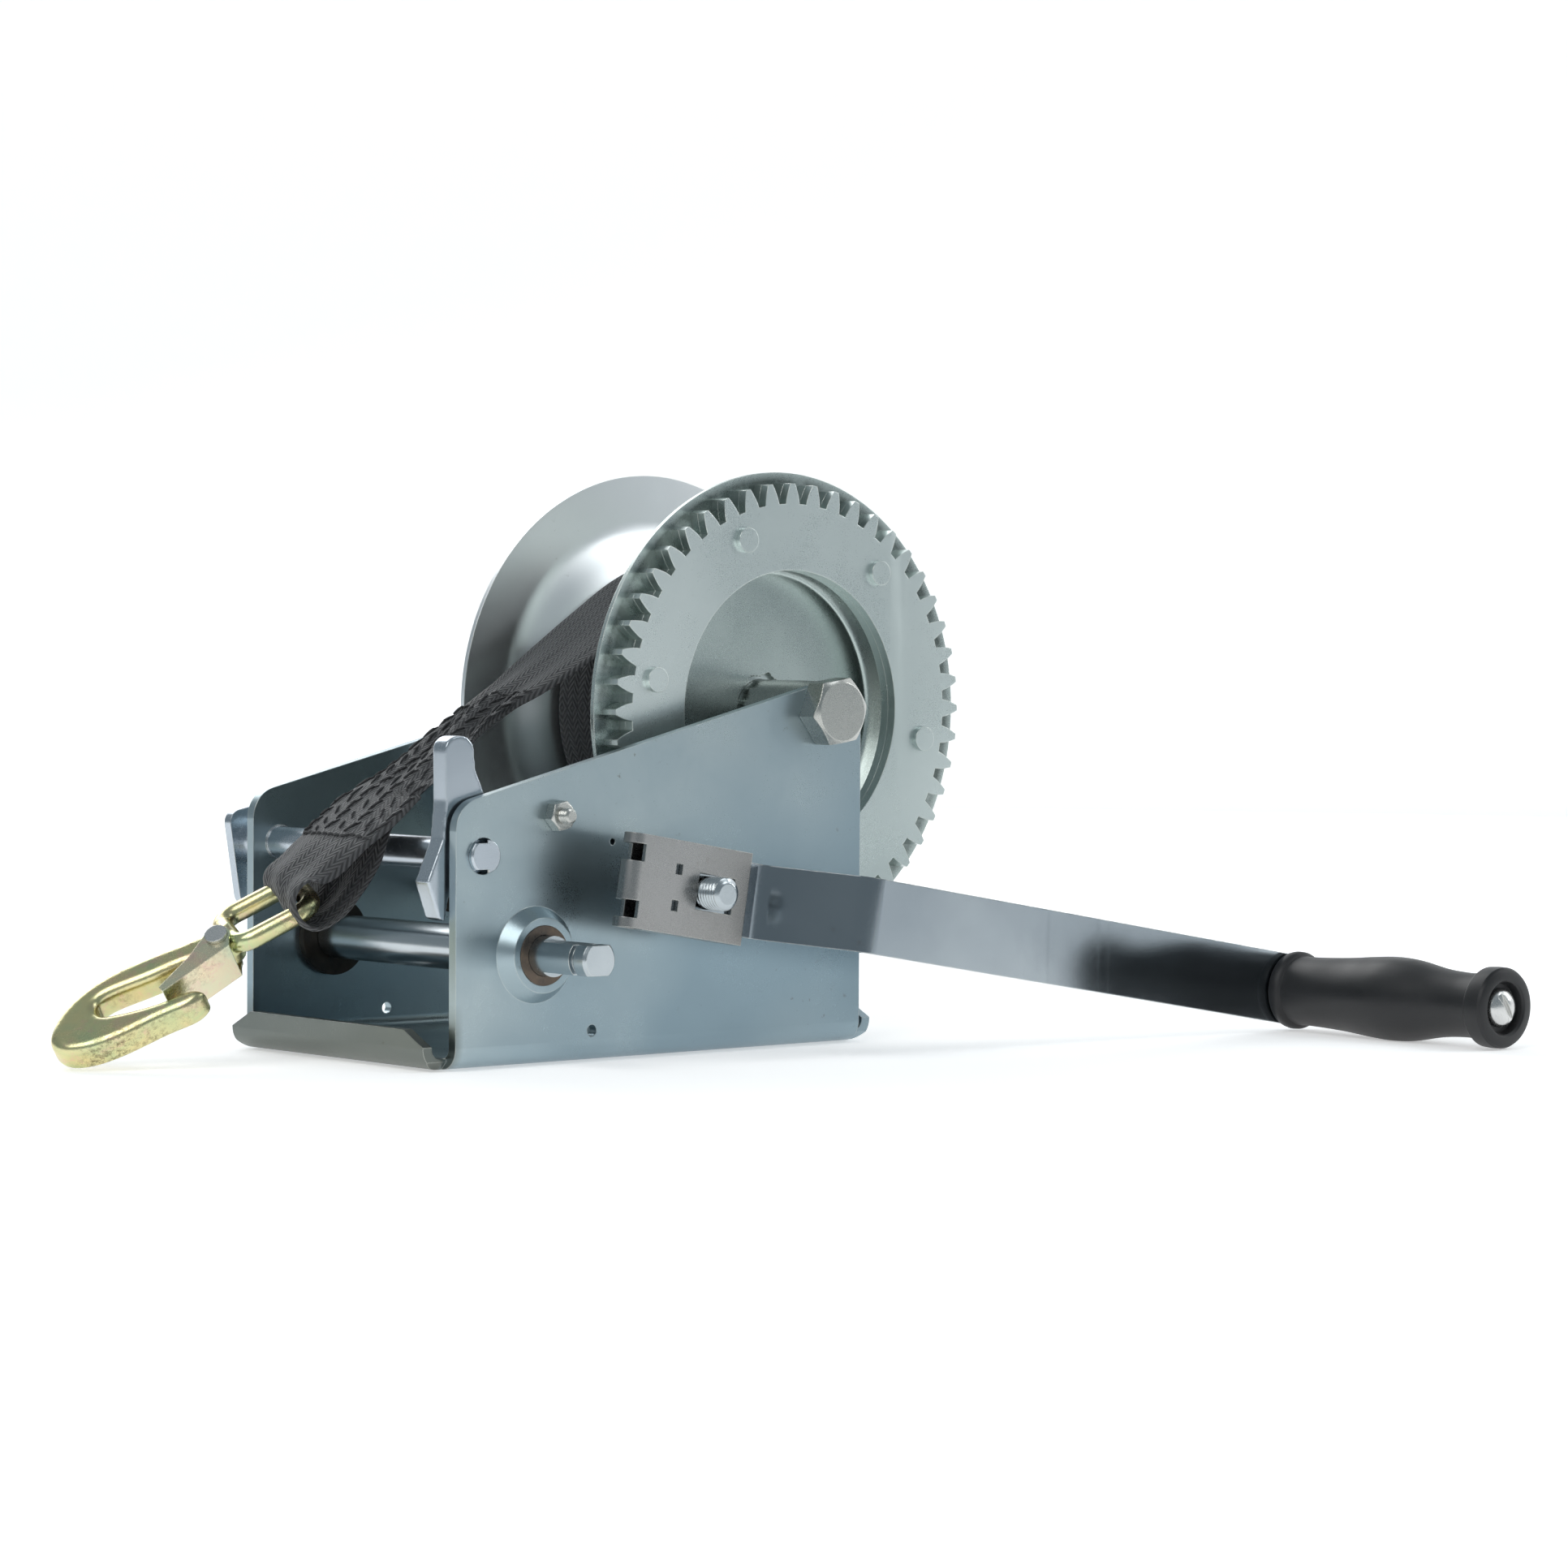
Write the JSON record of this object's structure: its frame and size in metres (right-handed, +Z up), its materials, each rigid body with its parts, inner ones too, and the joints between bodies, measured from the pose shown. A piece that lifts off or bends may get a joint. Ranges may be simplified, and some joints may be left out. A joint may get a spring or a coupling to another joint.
{
  "type": "boat trailer winch",
  "caption": "Hand-cranked two-speed strap winch: bent steel frame, geared drum with black webbing, reversing pawl, crank with free-turning grip, quick-release clip and snap hook.",
  "frame": {"origin": "middle of the base's bottom face", "axes": "+X towards the drum's end, +Y towards the side without the crank, +Z up from the base"},
  "size_m": [0.4972, 0.3266, 0.2207],
  "materials": {
    "frame_zinc": "satin",
    "gear_zinc": "satin",
    "bolt_zinc": "matte",
    "shaft_steel": "satin",
    "arm_zinc": "gloss",
    "pawl_zinc": "satin",
    "clip_steel": "satin",
    "bush_black": "matte",
    "spring_steel": "satin",
    "rivet_steel": "satin",
    "hook_gold": "satin",
    "grip_plastic": "matte",
    "strap": "matte"
  },
  "bodies": {
    "frame": {"frame": "frame_zinc", "bush_a_right": "bush_black", "bush_a_left": "bush_black", "bush_b_right": "bush_black", "bush_b_left": "bush_black", "axle_bolt": "bolt_zinc", "axle_nut": "bolt_zinc", "axle_washer": "bolt_zinc", "axle_spacer": "bolt_zinc", "stop_bolt": "bolt_zinc", "stop_sleeve": "bolt_zinc", "stop_nut": "bolt_zinc", "pawl_spring": "spring_steel", "strap_tail": "strap"},
    "drum": {"gear_plate_front": "gear_zinc", "gear_plate_rear": "gear_zinc", "gear_rivets": "gear_zinc", "flange_rim_near": "gear_zinc", "flange_wall_near": "gear_zinc", "flange_disc_near": "gear_zinc", "flange_rim_far": "gear_zinc", "flange_wall_far": "gear_zinc", "flange_disc_far": "gear_zinc", "drum_core": "gear_zinc", "strap_pin": "bolt_zinc", "strap_roll": "strap"},
    "shaft_b": {"shaft_b": "shaft_steel", "drum_pinion": "shaft_steel", "reduction_gear": "gear_zinc", "crank_arm": "arm_zinc", "grip_screw": "bolt_zinc", "shaft_b_ring": "shaft_steel"},
    "shaft_a": {"shaft_a": "shaft_steel", "low_pinion": "shaft_steel", "shaft_a_ring": "shaft_steel"},
    "pawl": {"pawl": "pawl_zinc", "pawl_axle": "pawl_zinc", "pawl_washer": "pawl_zinc", "pawl_lever": "pawl_zinc"},
    "clip": {"crank_clip": "clip_steel"},
    "grip": {"crank_grip": "grip_plastic"},
    "hook": {"hook_body": "hook_gold", "hook_rivet": "rivet_steel"},
    "latch": {"hook_latch": "hook_gold", "latch_spring": "spring_steel"}
  },
  "joints": [
    {"name": "drum_spin", "type": "hinge", "parent": "frame", "child": "drum", "pos_m": [0.0795, 0, 0.128], "axis": [0, 1, 0], "continuous": true},
    {"name": "shaft_b_spin", "type": "hinge", "parent": "frame", "child": "shaft_b", "pos_m": [-0.00238, 0, 0.06227], "axis": [0, 1, 0], "continuous": true},
    {"name": "shaft_a_spin", "type": "hinge", "parent": "frame", "child": "shaft_a", "pos_m": [-0.0615, 0, 0.0405], "axis": [0, 1, 0], "continuous": true},
    {"name": "pawl_pivot", "type": "hinge", "parent": "frame", "child": "pawl", "pos_m": [-0.0854, 0, 0.0772], "axis": [0, -1, 0], "range_deg": [0, 30]},
    {"name": "clip_slide", "type": "slide", "parent": "shaft_b", "child": "clip", "axis": [-0.986, 0, 0.1668], "range_m": [0, 0.004]},
    {"name": "grip_spin", "type": "hinge", "parent": "shaft_b", "child": "grip", "pos_m": [0.2737, 0, 0.01557], "axis": [0, 1, 0], "continuous": true},
    {"name": "hook_swing", "type": "hinge", "parent": "frame", "child": "hook", "pos_m": [-0.11812, -0.00044, 0.0614], "axis": [-0.3226, -0.9102, -0.2598], "range_deg": [-20, 20]},
    {"name": "latch_pivot", "type": "hinge", "parent": "hook", "child": "latch", "pos_m": [-0.14767, 0.00847, 0.04123], "axis": [0.5981, 0.3353, -0.7279], "range_deg": [0, 16], "stiffness_Nm_per_rad": 0.02, "springref_deg": -28.65}
  ],
  "couplings": [
    {"joint": "shaft_b_spin", "follows": "drum_spin", "ratio": -4},
    {"joint": "shaft_a_spin", "follows": "drum_spin", "ratio": 8}
  ]
}
